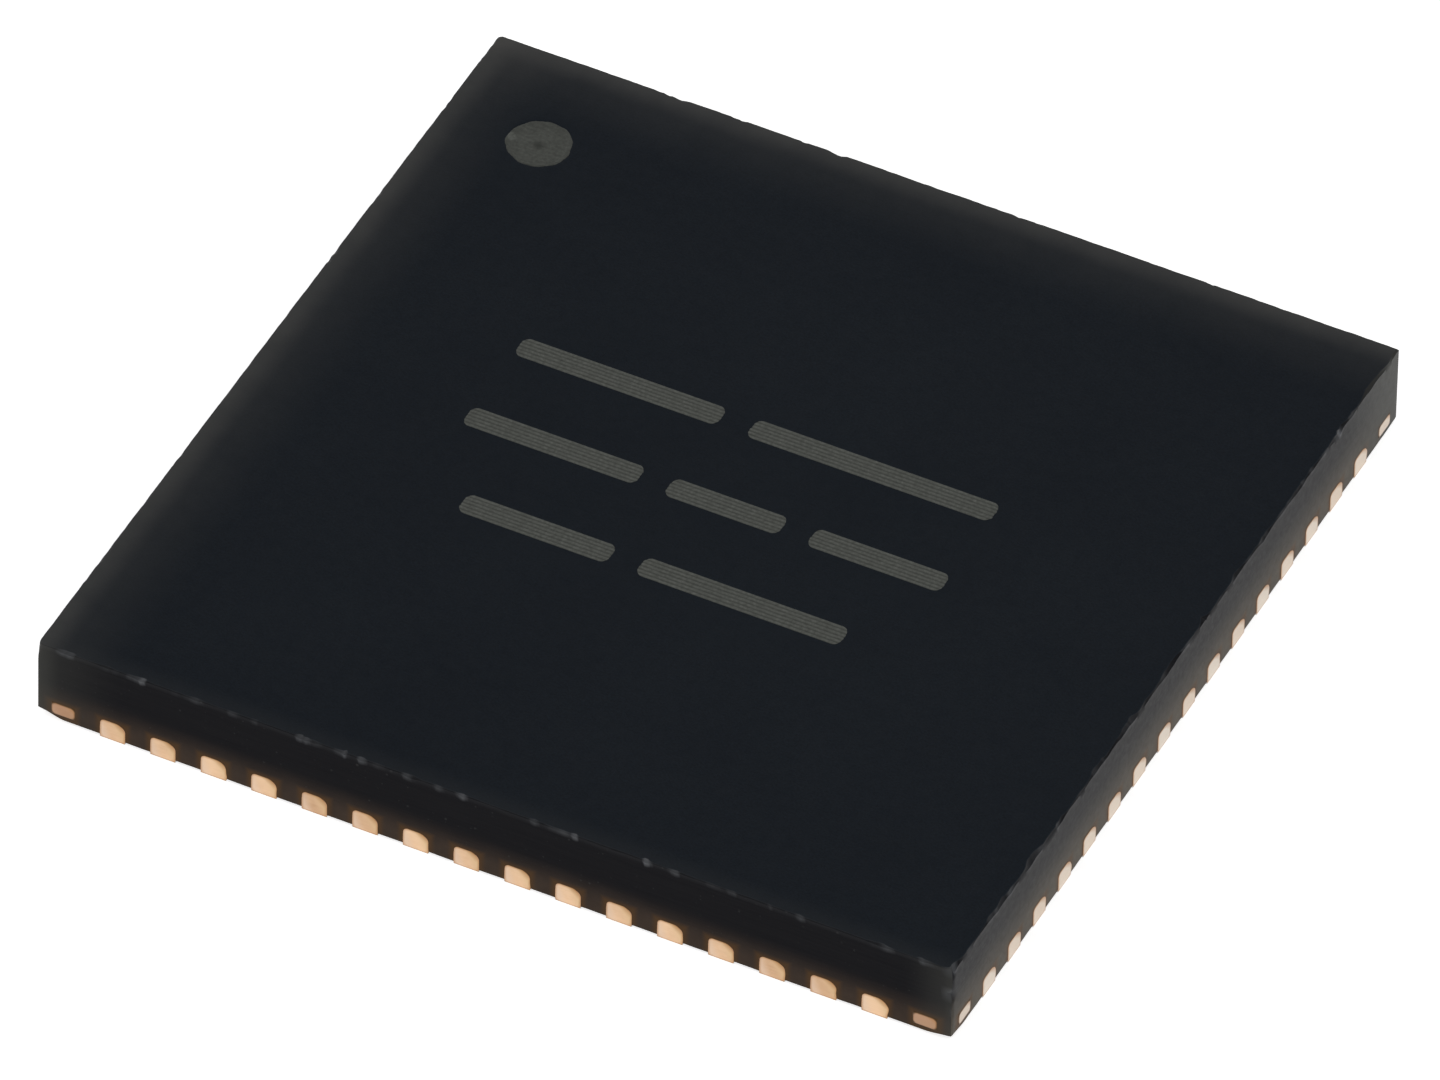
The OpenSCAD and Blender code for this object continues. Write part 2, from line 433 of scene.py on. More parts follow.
def mouldSkin(shape, mark, materials):
    # A profile carried round a square: rows of (inset, height) from the top band over the broken edge, down
    # the sawn side and under the block; two flat grids close it above and below.
    rng = np.random.default_rng(shape["seed"])
    half = halfSide - shape["setBack"]
    inner = half - shape["bandEnd"]
    lines = [cellLines(inner, at, mark["radius"] * shape["fineReach"], shape) for at in markMiddle(mark)]
    splits = shape["splits"]
    loop = squareLoop(*(splitCells(line, splits) / inner for line in lines))
    count = len(loop)
    length = 8 * half  # once round
    step = np.roll(loop, -1, 0) - loop
    place = np.concatenate([[0], np.cumsum(np.abs(step).sum(1))[:-1]]) * half
    inward, downward, bright = edgeBreaks(place, length, shape, rng)
    lowBreak = shape["lowLeast"] + shape["lowRagged"] * raggedLine(place, length, shape["raggedStep"], rng)
    lowBreak = lowBreak + cornerFoot(loop, half, shape)
    wave = shape["sideWave"] * raggedLine(place, length, shape["sideWaveStep"], rng)
    lowEdge = wave + lowBreak

    topInset = np.array(shape["topInsets"])[:, None]
    drop = shape["rollOff"] * np.clip(1 - topInset / shape["rollReach"], 0, 1) ** 2
    edgeHeight = topHeight - shape["rollOff"] + 0 * inward
    kinkIn, kinkDown = shape["kink"]
    rise, foot = edgeHeight - downward, underHeight + lowBreak
    sideStep = np.linspace(0, 1, shape["sideRows"] + 2)[1:-1, None]
    underInset = np.array(shape["underInsets"])[:, None]
    insets = np.concatenate([
        inward + topInset * (1 - inward / shape["bandWidth"]),
        [inward, kinkIn * inward + wave, wave],
        wave + 0 * sideStep,
        [wave, lowEdge],
        lowEdge + underInset * (1 - lowEdge / shape["bandWidth"]),
    ])
    heights = np.concatenate([
        topHeight - drop + 0 * inward,
        [edgeHeight, edgeHeight - kinkDown * downward, rise],
        rise + sideStep * (foot - rise),
        [foot, underHeight + 0 * foot],
        underHeight + 0 * underInset + 0 * foot,
    ])
    rowCount = len(insets)
    reach = half - insets
    radius, cornerTone = cornerRadii(loop, heights, half, shape)
    radius = np.maximum(radius - insets, shape["leastRadius"])
    flat = roundCorners(loop * reach[..., None], reach, radius)
    ring = np.concatenate([flat, heights[..., None]], -1)

    x, y = np.meshgrid(*lines)
    top = np.stack([x, y, topSurface(x, y, mark)], -1)
    under = np.stack([x, y, np.full_like(x, underHeight)], -1)
    points = joinPoints(ring, top, under)

    ringFaces = gridFaces(rowCount, count, wrap=True).reshape(rowCount - 1, count, 4)
    topRows, sawnEnd = len(shape["topInsets"]), rowCount - len(shape["underInsets"])
    firstTop, firstUnder = ring.size // 3, (ring.size + top.size) // 3
    topLoop, underLoop = (gridOutline(*x.shape, first) for first in (firstTop, firstUnder))
    # each border cell of a flat grid meets several of the ring, so it is one many-sided face
    cell = np.arange(len(topLoop))[:, None]
    ringTop = (cell * splits + np.arange(splits + 1)) % count
    ringUnder = (rowCount - 1) * count + ringTop
    topSeam = np.hstack([topLoop[cell], ringTop, np.roll(topLoop, -1)[cell]])
    underSeam = np.hstack([underLoop[cell], ringUnder, np.roll(underLoop, -1)[cell]])[:, ::-1]
    moulded = [ringFaces[:topRows].reshape(-1, 4), gridFaces(*x.shape, firstTop, flip=True),
               ringFaces[sawnEnd:].reshape(-1, 4), gridFaces(*x.shape, firstUnder), topSeam, underSeam]
    sawn = ringFaces[topRows:sawnEnd].reshape(-1, 4)

    chipAndEdgeHighlight = np.zeros(len(points))
    chipAndEdgeHighlight[topRows * count:rowCount * count] = cornerTone[topRows:].ravel()
    edgeRows = 3  # of the broken edge
    edge = slice(topRows * count, (topRows + edgeRows) * count)
    # broken edge paler: fractured epoxy, and partly a painted highlight along it
    chipAndEdgeHighlight[edge] = np.maximum(chipAndEdgeHighlight[edge], np.tile(np.maximum(shape["edgeTone"], bright), edgeRows))
    skin = makePiece("mould_skin", points, [(group, 0) for group in moulded] + [(sawn, 1)],
                     materials, {"chipAndEdgeHighlight": chipAndEdgeHighlight}, shape["sharpAngle"])
    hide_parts("mould_body")
    print(f"mould skin: {len(points)} points, {count} round the edge")


# Laser marks: hatched bars on the top and the disc in the recess

markBars = dict(
    middleX=-0.11,
    rows=((0.90, (2.05, 2.45)), (-0.12, (1.75, 1.15, 1.34)), (-1.15, (1.5, 2.04))),  # middle Y, bar lengths
    gap=0.26,
    height=0.26,
    cornerRadius=0.09,
    hatchLines=6,
    endWander=0.003,  # each hatch line ends a little early or late
    lift=0.0012,
    ridge=0.0016,
    pulsePitch=0.021,  # along the hatch lines
    pulseShare=0.25,
    sink=0.004,
    burnLow=0.35,  # brightness between the ridges
    burnEdge=0.3,
    acrossCells=6,  # cells across each hatch line
    alongCells=90,
    seed=5,
)


def pillowFaces(count, rows, columns):
    # faces of many like grids, each closed by a fan from its outline to a point behind it; the points behind
    # follow the grids
    first = (np.arange(count) * rows * columns)[:, None, None]
    cells = (gridFaces(rows, columns, flip=True) + first).reshape(-1, 4)
    outline = gridOutline(rows, columns) + first[:, 0]
    behind = count * rows * columns + np.arange(count)[:, None] + 0 * outline
    fans = np.stack([behind, np.roll(outline, -1, 1), outline], -1).reshape(-1, 3)
    return [(cells, 0), (fans, 0)]


def barPlaces(bars):
    # left end, middle line and length of each bar; every row of bars is centred on one line
    places = []
    for middleY, lengths in bars["rows"]:
        total = sum(lengths) + bars["gap"] * (len(lengths) - 1)
        left = bars["middleX"] - total / 2
        starts = np.cumsum([0, *lengths[:-1]]) + bars["gap"] * np.arange(len(lengths))
        places += [(left + start, middleY, length) for start, length in zip(starts, lengths)]
    return np.array(places).T[:, :, None, None]


def laserBars(bars, mark, material):
    # Each bar: y runs across the hatch lines, x between two round-cornered ends that wander from line to
    # line; the height is a row of round ridges with pulses along them, and the outline lies under the top.
    rng = np.random.default_rng(bars["seed"])
    left, middleY, length = barPlaces(bars)
    count, lines = len(left), bars["hatchLines"]
    rows, columns = lines * bars["acrossCells"] + 1, bars["alongCells"] + 1
    across = np.linspace(0, 1, rows)[None, :, None]
    along = np.linspace(0, 1, columns)[None, None, :]
    line = np.minimum((across * lines).astype(int), lines - 1)
    wander = rng.uniform(-bars["endWander"], bars["endWander"], (2, count, lines))
    bar = np.arange(count)[:, None, None]
    radius = bars["cornerRadius"]
    over = np.clip(np.abs(across - 0.5) * bars["height"] - (bars["height"] / 2 - radius), 0, radius)
    rounding = radius - np.sqrt(radius ** 2 - over ** 2)
    leftEnd = left + rounding + wander[0][bar, line]
    rightEnd = left + length - rounding + wander[1][bar, line]
    x = leftEnd + along * (rightEnd - leftEnd)
    y = middleY + (across - 0.5) * bars["height"] + 0 * x
    # the pulses repeat after each millimetre
    pulse = raggedLine(x.ravel() % 1, 1, bars["pulsePitch"], rng).reshape(x.shape)
    ridge = np.abs(np.sin(np.pi * across * lines)) * (1 - bars["pulseShare"] * (1 - pulse))
    z = topSurface(x, y, mark) + bars["lift"] + bars["ridge"] * ridge
    edge = np.ones((rows, columns), bool)
    edge[1:-1, 1:-1] = False
    z = np.where(edge, topHeight - bars["sink"], z)
    deep = np.full_like(left, topHeight - 2 * bars["sink"])
    points = joinPoints(np.stack([x, y, z], -1), np.stack([left + length / 2, middleY, deep], -1))
    burn = bars["burnLow"] + (1 - bars["burnLow"]) * ridge
    burn = np.append(np.where(edge, bars["burnEdge"], burn), 0 * deep)
    faces = pillowFaces(count, rows, columns)
    makePiece("laser_bars", points, faces, [material], {"burn": burn})
    print(f"laser bars: {count} bars of {lines} lines")


discShape = dict(
    rows=26,
    columns=144,
    crowding=0.8,  # power that draws the rows towards the rim
    lift=0.0012,
    ridge=0.0014,
    ridgePitch=0.05,
    ridgeShare=0.3,  # the ridges rise and fall by this share along a slanting wave
    ridgeWave=(31, 11),
    sink=0.004,
    cover=0.55,  # share of the wall's width that the disc covers past the wall's middle
    wallLead=1.06,  # the disc's own wall is smaller by this, so that it lies clear of the recess
    backShare=0.9,  # of the outline, below the floor
    burn=0.52,  # brightness between the ridges, and what a ridge adds
    burnRidge=0.12,
    dotRadius=0.05,  # pit in the middle
    dotReach=1.5,  # radii to its end
    dotDepth=0.001,
    dotShade=0.34,
    spotAngle=3.2,  # radians, bright spot near the rim
    spotShare=0.98,  # of the mark's radius
    spotRadius=0.042,
    spotReach=1.4,
    spotGlow=0.95,
    rimFrom=0.75,  # share of the outline where the rim begins
    rimFade=0.1,
)


def softSpot(distance, radius, reach):
    # 1 in the middle, falling by a smooth step over one radius to 0 at the reach, which is in radii
    return smoothStep(reach - distance / radius)


def markDisc(disc, mark, material):
    # A polar grid on the recess: radius from the waved outline, height from straight hatch ridges over the
    # recess, with a small pit in the middle; the rim turns in under the floor, one point closes the pole
    # and one face the back.
    angle = np.linspace(0, 2 * np.pi, disc["columns"], endpoint=False)[None, :]
    share = np.linspace(0, 1, disc["rows"])[1:] ** disc["crowding"]
    share = np.append(share, disc["backShare"])[:, None]
    r = share * (markOutline(angle, mark) + disc["cover"] * mark["wall"])
    x, y = r * np.cos(angle), r * np.sin(angle)
    slant = disc["ridgeWave"][0] * x + disc["ridgeWave"][1] * y
    ridge = np.abs(np.sin(np.pi * y / disc["ridgePitch"])) * (1 - disc["ridgeShare"] * (1 - np.sin(slant)))
    dot = softSpot(r, disc["dotRadius"], disc["dotReach"])
    rim = smoothStep((share - disc["rimFrom"]) / (1 - disc["rimFrom"]))
    middleX, middleY = markMiddle(mark)
    ground = topSurface(middleX + disc["wallLead"] * x, middleY + disc["wallLead"] * y, mark)
    floor = topHeight - mark["depth"]
    z = ground + disc["lift"] + disc["ridge"] * ridge * (1 - rim) - disc["dotDepth"] * dot
    z[-2] = topHeight - disc["lift"]
    z[-1] = floor - disc["sink"]
    away = disc["spotShare"] * mark["radius"]
    spotX, spotY = away * np.cos(disc["spotAngle"]), away * np.sin(disc["spotAngle"])
    spot = softSpot(np.hypot(x - spotX, y - spotY), disc["spotRadius"], disc["spotReach"])
    burn = disc["burn"] + disc["burnRidge"] * ridge - disc["dotShade"] * dot
    burn = np.clip(burn + disc["spotGlow"] * spot - disc["rimFade"] * rim, 0, 1)
    pole = np.array([middleX, middleY, floor + disc["lift"] - disc["dotDepth"]])
    points = joinPoints(np.stack([middleX + x, middleY + y, z], -1), pole)
    count, rows = disc["columns"], disc["rows"]
    columns = np.arange(count)
    fan = np.column_stack([np.full(count, rows * count), columns, (columns + 1) % count])
    back = ((rows - 1) * count + columns)[None, ::-1]
    faces = [(gridFaces(rows, count, wrap=True), 0), (fan, 0), (back, 0)]
    burn = np.append(burn, burn[0].min())
    makePiece("first_lead_mark", points, faces, [material], {"burn": burn})
    print("first lead mark: disc in its recess")


# Sawn copper ends, flush with the sides

sawnEnds = dict(
    perSide=16,
    width=0.25,
    leftRadius=0.05,  # upper corners of a lead end
    rightRadius=0.1,
    footRadius=0.012,
    tieInset=0.26,  # tie bar ends, from the corner
    tieWidth=0.22,
    tieFoot=0.08,
    tieRadius=0.002,
    tieCover=0.01,  # smear past the outline of the tie bar ends
    tieBevel=0.7,  # share of that smear over which it rises
    soilRadius=0.05,  # dark smear leaves a round-cornered field of the tie bar ends free
    soilBlur=0.016,
    burr=0.014,  # copper dragged up over the mould
    proud=0.003,
    domePower=6,
    sawLine=0.0009,
    sawPitch=0.028,
    sawTurn=(-0.1, 0.4),  # slope of the saw lines
    sawBend=0.6,
    smear=0.03,  # copper dragged to the right by the saw
    smearWave=(0.6, 0.4, 1.3),  # its mean, its wave and the waves over the height of an end
    smearPowers=(0.5, 0.3),  # how it runs out towards the head and the foot
    cornerSlope=0.8,  # lean of the upper right corner that gets painted shade
    acrossSlope=0.35,  # lean of the painted shading from left to right
    sink=0.004,
    wall=0.002,
    rows=17,
    columns=19,
    seed=3,
)


def leadPitch(ends):
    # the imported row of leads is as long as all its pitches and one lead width
    return (rowHigh[0] - rowLow[0] - ends["width"]) / (ends["perSide"] - 1)


def copperEnds(ends, material):
    # Each end is a pillow: rows run from foot to head between a left and a right limit with rounded corners,
    # and it stands out by a low dome with saw lines, down to its outline inside the lead.
    rng = np.random.default_rng(ends["seed"])
    leadPlaces = (np.arange(ends["perSide"]) - (ends["perSide"] - 1) / 2) * leadPitch(ends)
    tiePlaces = (halfSide - ends["tieInset"]) * np.array([-1, 1])
    along = np.tile(np.concatenate([leadPlaces, tiePlaces]), 4)[:, None, None]
    perSide = ends["perSide"] + 2
    side = np.repeat(np.arange(4), perSide)
    tie = np.tile(np.arange(perSide) >= ends["perSide"], 4)[:, None, None]
    count = len(along)
    cover = ends["tieCover"]
    width = np.where(tie, ends["tieWidth"] + 2 * cover, ends["width"])
    foot = np.where(tie, ends["tieFoot"] - cover, 0)
    top = leadTop + np.where(tie, cover, ends["burr"])
    rows, columns = ends["rows"], ends["columns"]
    v = smoothStep(np.linspace(0, 1, rows))[None, :, None]  # cells grow narrow towards the outline
    u = smoothStep(np.linspace(0, 1, columns))[None, None, :]
    z = foot + v * (top - foot)

    def cut(headRadius):
        # how much the round corners take off the row at height z, above and below
        radius = np.where(tie, ends["tieRadius"], headRadius)
        head = np.clip(z - (top - radius), 0, radius)
        low = np.clip(foot + ends["footRadius"] - z, 0, ends["footRadius"])
        return (radius - np.sqrt(radius ** 2 - head ** 2)
                + ends["footRadius"] - np.sqrt(ends["footRadius"] ** 2 - low ** 2))

    strength, start = rng.random((2, count, 1, 1))
    mean, wave, waves = ends["smearWave"]
    bulge = mean + wave * np.sin(2 * np.pi * (waves * v + start))
    headPower, footPower = ends["smearPowers"]
    drag = np.where(tie, 0, ends["smear"]) * strength ** 2 * bulge * (1 - v) ** headPower * v ** footPower
    left = -width / 2 + cut(ends["leftRadius"])
    right = width / 2 - cut(ends["rightRadius"]) + drag
    x = left + u * (right - left)  # along the side, from the middle of the end
    turn = rng.uniform(*ends["sawTurn"], (count, 1, 1))
    phase = rng.uniform(0, 2 * np.pi, (count, 1, 1))
    line = np.sin(2 * np.pi * (z + turn * x + ends["sawBend"] * x ** 2) / ends["sawPitch"] + phase)
    dome = (1 - (2 * u - 1) ** ends["domePower"]) * (1 - (2 * v - 1) ** ends["domePower"])
    z = np.broadcast_to(z, x.shape)
    inside = np.minimum(np.minimum(x - left, right - x), np.minimum(z - foot, top - z))
    ramp = np.clip(inside / np.where(tie, ends["tieBevel"] * cover, ends["wall"]), 0, 1)
    out = ramp * dome * (ends["proud"] + ends["sawLine"] * line) - (1 - ramp) * ends["sink"]
    radius = ends["soilRadius"]
    aside = np.maximum(np.abs(x) - (width / 2 - radius), 0)
    aloft = np.maximum(np.abs(z - (foot + top) / 2) - ((top - foot) / 2 - radius), 0)
    soil = smoothStep((np.hypot(aside, aloft) - radius) / ends["soilBlur"] + 1)
    corner = smoothStep((u + ends["cornerSlope"] * v - 1) / ends["cornerSlope"])

    # directions on the south, east, north and west sides
    rightward = np.array([(1, 0), (0, 1), (-1, 0), (0, -1)])[side][:, None, None, :]
    outward = np.array([(0, -1), (1, 0), (0, 1), (-1, 0)])[side][:, None, None, :]
    flat = rightward * (along + x)[..., None] + outward * (halfSide + out)[..., None]
    deep = rightward * along[..., None] + outward * (halfSide - 2 * ends["sink"])
    front = np.concatenate([flat, z[..., None]], -1)
    behind = np.concatenate([deep, (foot + top)[..., None] / 2], -1)

    def forPoints(value):
        # one number for each point of the ends, and 0 for the points behind them
        return np.append(np.broadcast_to(value, x.shape), np.zeros(count))

    values = {
        "tone": forPoints(rng.random((count, 1, 1))),
        "across": forPoints(u + ends["acrossSlope"] * (v - 0.5)),
        "tie": forPoints(tie),
        "east": forPoints((side == 1)[:, None, None]),
        "soil": forPoints(np.where(tie, soil, 0)),
        # darker rim and upper right corner: copper smear and painted shade of the rounded edges
        "rim": forPoints(np.maximum(1 - dome, corner)),
    }
    faces = pillowFaces(count, rows, columns)
    makePiece("sawn_copper_ends", joinPoints(front, behind), faces, [material], values)
    print(f"sawn ends: {count} ends, pitch {leadPitch(ends):.2f} mm")


# Finishes; a noise is given as cells per millimetre, detail and roughness

noiseLow, noiseHigh = 0.3, 0.7  # most values of a noise lie between these


def startFinish(name, sockets):
    # a new material with its node tree, and object coordinates in millimetres
    material = newMaterial(name, sockets)
    tree = material.node_tree
    coords = addNode(tree, "TexCoord").outputs["Object"]
    inMillimetres = addNode(tree, "Mapping", {"Vector": coords, "Scale": (1 / mm,) * 3}).outputs["Vector"]
    return material, tree, inMillimetres


def noise(tree, vector, scale, detail, roughness):
    # a cloud of values round one half
    inputs = {"Vector": vector, "Scale": scale, "Detail": detail, "Roughness": roughness}
    return addNode(tree, "TexNoise", inputs).outputs["Fac"]


def stretched(tree, vector, scale, turn=(0, 0, 0)):
    # coordinates scaled and turned, so that a noise on them becomes streaks
    return addNode(tree, "Mapping", {"Vector": vector, "Scale": scale, "Rotation": turn}).outputs["Vector"]


def remap(tree, value, low, high, toLow=0.0, toHigh=1.0, kind="LINEAR"):
    # from one range to another, in a straight line unless the kind says otherwise
    inputs = {"Value": value, "From Min": low, "From Max": high, "To Min": toLow, "To Max": toHigh}
    return addNode(tree, "MapRange", inputs, interpolation_type=kind).outputs["Result"]


def fade(tree, value, start, end, share):
    # 0 at the start, the share at the end, and a smooth step between
    return remap(tree, value, start, end, 0.0, share, "SMOOTHSTEP")


def spread(tree, value, low, high):
    # a noise spread between two values
    return remap(tree, value, noiseLow, noiseHigh, low, high)


def shades(tree, value, dark, light, low=noiseLow, high=noiseHigh):
    # a noise or another value as a blend of two colours
    return colourRamp(tree, value, [(low, dark), (high, light)])


def combine(tree, operation, first, second=0.0):
    # one operation on one or two sockets or numbers
    return addNode(tree, "Math", {0: first, 1: second}, operation=operation).outputs["Value"]


def multiply(tree, first, second):
    return combine(tree, "MULTIPLY", first, second)


def blend(tree, factor, first, second, kind="MIX"):
    # from the first colour to the second; each is a socket or three numbers
    first, second = (
        colour if isinstance(colour, bpy.types.NodeSocket) else (*colour, 1) for colour in (first, second)
    )
    node = addNode(tree, "Mix", {0: factor, 6: first, 7: second}, data_type="RGBA", blend_type=kind)
    return node.outputs[2]


def attribute(tree, name):
    # the per-point numbers of a piece
    return addNode(tree, "Attribute", attribute_name=name).outputs["Fac"]


def finishShader(material, colour, roughness, relief, height):
    # links colour and roughness, and a relief of this height in millimetres
    tree = material.node_tree
    inputs = tree.nodes["Principled BSDF"].inputs
    tree.links.new(colour, inputs["Base Color"])
    tree.links.new(roughness, inputs["Roughness"])
    bump = addNode(tree, "Bump", {"Height": relief, "Distance": height * mm})
    tree.links.new(bump.outputs["Normal"], inputs["Normal"])
    return material


mouldedLook = dict(
    dark=(0.0035, 0.0071, 0.0126),
    light=(0.0056, 0.0097, 0.0154),
    cloud=(0.55, 4, 0.6),
    grain=(42, 3, 0.7),
    grainShades=((0.3, 0.72), (0.72, 1.3)),  # place in the grain and brightness there
    # painted glow: the pale colour laid inside the top's edges
    paintedGlow=(0.074, 0.073, 0.070),
    paintedGlowReaches=((0.9, 0.30), (0.30, 0.75)),  # painted glow: pale band inside the north and west edges, in place of light bleeding round the dark top: width and share
    paintedSouthGlow=(0.25, 0.11),  # painted glow: fainter pale band inside the south edge
    paintedGlowPatches=(1.7, 3, 0.6),
    patchRange=(0.25, 0.75, 0.6, 1.0),  # from these values of the noise to these shares of the painted glow
    chipAndEdgeHighlight=(0.110, 0.114, 0.122),
    shine=0.115,
    gloss=(9, 4, 0.65),
    roughness=(0.5, 0.62),
    grainHeight=0.0011,
)


def mouldedFinish(look):
    # cloudy dark epoxy with a fine grain, a painted glow inside three edges of the top, and pale where it is
    # chipped and, partly as a painted highlight, along its broken edges
    material, tree, at = startFinish("mouldedEpoxy", {"Specular IOR Level": look["shine"]})
    colour = shades(tree, noise(tree, at, *look["cloud"]), look["dark"], look["light"])
    grain = noise(tree, at, *look["grain"])
    colour = blend(tree, 1.0, colour, greyRamp(tree, grain, look["grainShades"]), "MULTIPLY")
    place = addNode(tree, "SeparateXYZ", {"Vector": at}).outputs
    above = combine(tree, "GREATER_THAN", place["Z"], topHeight / 2)
    patchy = remap(tree, noise(tree, at, *look["paintedGlowPatches"]), *look["patchRange"])
    patchy = multiply(tree, patchy, above)
    # painted glow inside the north and west edges of the top, in patches
    for reach, share in look["paintedGlowReaches"]:
        north = fade(tree, place["Y"], halfSide - reach, halfSide, share)
        west = fade(tree, place["X"], reach - halfSide, -halfSide, share)
        paintedLight = multiply(tree, combine(tree, "ADD", north, west), patchy)
        colour = blend(tree, paintedLight, colour, look["paintedGlow"])
    # painted glow inside the south edge of the top, fainter
    reach, share = look["paintedSouthGlow"]
    south = fade(tree, place["Y"], reach - halfSide, -halfSide, share)
    colour = blend(tree, multiply(tree, south, above), colour, look["paintedGlow"])
    # chips and broken edges paler, partly a painted edge highlight
    colour = blend(tree, attribute(tree, "chipAndEdgeHighlight"), colour, look["chipAndEdgeHighlight"])
    roughness = spread(tree, noise(tree, at, *look["gloss"]), *look["roughness"])
    return finishShader(material, colour, roughness, grain, look["grainHeight"])


sawnLook = dict(
    dark=(0.0022, 0.0022, 0.0036),
    light=(0.0046, 0.0045, 0.0058),
    streak=(1.0, 3, 0.6),
    streakStretch=(0.9, 0.9, 38),
    brown=(0.046, 0.031, 0.022),  # copper dragged over the mould between the leads
    brownTop=0.46,
    # east side: copper smear, paler and reaching higher as painted bounce light from the floor
    eastBrownAndPaintedBounce=(0.074, 0.062, 0.046),
    eastBrownAndPaintedBounceTop=0.66,
    brownPatches=(5, 3, 0.6),
    brownShares=(0.75, 1.0),
    paintedLight=(0.050, 0.050, 0.045),  # painted light: paler north end of the east side and both ends of the south side
    paintedNorthLight=(1.3, 0.9),  # width and share
    paintedSouthLights=((-1, 0.9, 0.28), (-1, 0.25, 0.5), (1, 0.5, 0.38), (1, 0.1, 0.3)),  # end, width and share
    filler=(0.035, 0.035, 0.035),  # grains cut by the saw
    fillerCells=24.0,  # per millimetre
    fillerFrom=0.8,  # share of the cells that hold no grain
    fillerSize=0.36,  # largest grain, in cells
    fillerShares=(0.05, 0.4),  # faintest and brightest grain
    chipAndEdgeHighlight=(0.110, 0.114, 0.122),
    copperSmearAndGlow=(0.075, 0.038, 0.014),  # halo round the lead ends: a painted glow of the bright copper, partly copper smear
    haloReach=0.075,
    haloShare=0.85,
    shine=0.042,
    gloss=(14, 4, 0.65),
    roughness=(0.3, 0.4),
    relief=(55, 2, 0.6),
    lineHeight=0.0007,
)


def sawnFinish(look, ends):
    # epoxy streaked by the saw, with cut grains, copper dragged over its lower part with painted bounce light
    # on the east side, a painted glow round the lead ends, and painted light at some ends
    material, tree, at = startFinish("sawnEpoxy", {"Specular IOR Level": look["shine"]})
    streak = noise(tree, stretched(tree, at, look["streakStretch"]), *look["streak"])
    colour = shades(tree, streak, look["dark"], look["light"])
    place = addNode(tree, "SeparateXYZ", {"Vector": at}).outputs
    awayX, awayY = (combine(tree, "ABSOLUTE", place[axis]) for axis in ("X", "Y"))
    east = combine(tree, "GREATER_THAN", place["X"], awayY)
    south = combine(tree, "LESS_THAN", place["Y"], multiply(tree, awayX, -1.0))
    # the low band is paler and taller on the east side: copper smear and painted bounce light
    lowTop = remap(tree, east, 0.0, 1.0, look["brownTop"], look["eastBrownAndPaintedBounceTop"])
    low = fade(tree, place["Z"], lowTop, leadTop / 2, 1.0)
    low = multiply(tree, low, spread(tree, noise(tree, at, *look["brownPatches"]), *look["brownShares"]))
    colour = blend(tree, low, colour, blend(tree, east, look["brown"], look["eastBrownAndPaintedBounce"]))
    # the lead ends repeat at an even pitch along each side, and the tie bar ends keep nearly to it
    onEnds = combine(tree, "GREATER_THAN", awayX, awayY)
    along = addNode(tree, "Mix", {0: onEnds, 2: place["X"], 3: place["Y"]}).outputs[0]
    halfPitch = leadPitch(ends) / 2
    fromGap = combine(tree, "PINGPONG", along, halfPitch)
    beside = combine(tree, "SUBTRACT", halfPitch - ends["width"] / 2, fromGap)
    above = combine(tree, "SUBTRACT", place["Z"], leadTop)
    outside = combine(tree, "MAXIMUM", beside, above)
    # painted glow round each lead end, partly copper smear
    halo = fade(tree, outside, look["haloReach"], 0.0, look["haloShare"])
    colour = blend(tree, halo, colour, look["copperSmearAndGlow"])
    # painted light: the north end of the east side and both ends of the south side drawn paler
    reach, share = look["paintedNorthLight"]
    north = fade(tree, place["Y"], halfSide - reach, halfSide, share)
    colour = blend(tree, multiply(tree, east, north), colour, look["paintedLight"])
    for end, reach, share in look["paintedSouthLights"]:
        near = fade(tree, place["X"], end * (halfSide - reach), end * halfSide, share)
        colour = blend(tree, multiply(tree, south, near), colour, look["paintedLight"])
    cells = addNode(tree, "TexVoronoi", {"Vector": at, "Scale": look["fillerCells"]}).outputs
    draw = addNode(tree, "SeparateColor", {"Color": cells["Color"]}).outputs
    size = remap(tree, draw["Red"], look["fillerFrom"], 1.0, 0.0, look["fillerSize"])
    grains = combine(tree, "LESS_THAN", cells["Distance"], size)
    faint = remap(tree, draw["Green"], 0.0, 1.0, *look["fillerShares"])
    colour = blend(tree, multiply(tree, grains, faint), colour, look["filler"])
    # chips and broken edges paler, partly a painted edge highlight
    colour = blend(tree, attribute(tree, "chipAndEdgeHighlight"), colour, look["chipAndEdgeHighlight"])
    roughness = spread(tree, noise(tree, at, *look["gloss"]), *look["roughness"])
    relief = combine(tree, "ADD", streak, noise(tree, at, *look["relief"]))
    return finishShader(material, colour, roughness, relief, look["lineHeight"])


laserLook = dict(
    burnt=(0.033, 0.035, 0.031),
    bright=(0.146, 0.153, 0.138),
    speckle=(30, 3, 0.7),
    speckleRange=(0.55, 1.1),
    shine=0.15,
    roughness=(0.85, 0.7),  # where the speckle is dark and where it is bright
    grain=(48, 3, 0.7),
    grainHeight=0.0012,
)


def laserFinish(look):
    # speckled grey, brighter where the laser burnt more, and smoother where the speckle is bright
    material, tree, at = startFinish("laserMark", {"Specular IOR Level": look["shine"]})
    speckle = spread(tree, noise(tree, at, *look["speckle"]), *look["speckleRange"])
    burn = multiply(tree, attribute(tree, "burn"), speckle)
    colour = shades(tree, burn, look["burnt"], look["bright"], 0.0, 1.0)
    roughness = remap(tree, speckle, *look["speckleRange"], *look["roughness"])
    return finishShader(material, colour, roughness, noise(tree, at, *look["grain"]), look["grainHeight"])


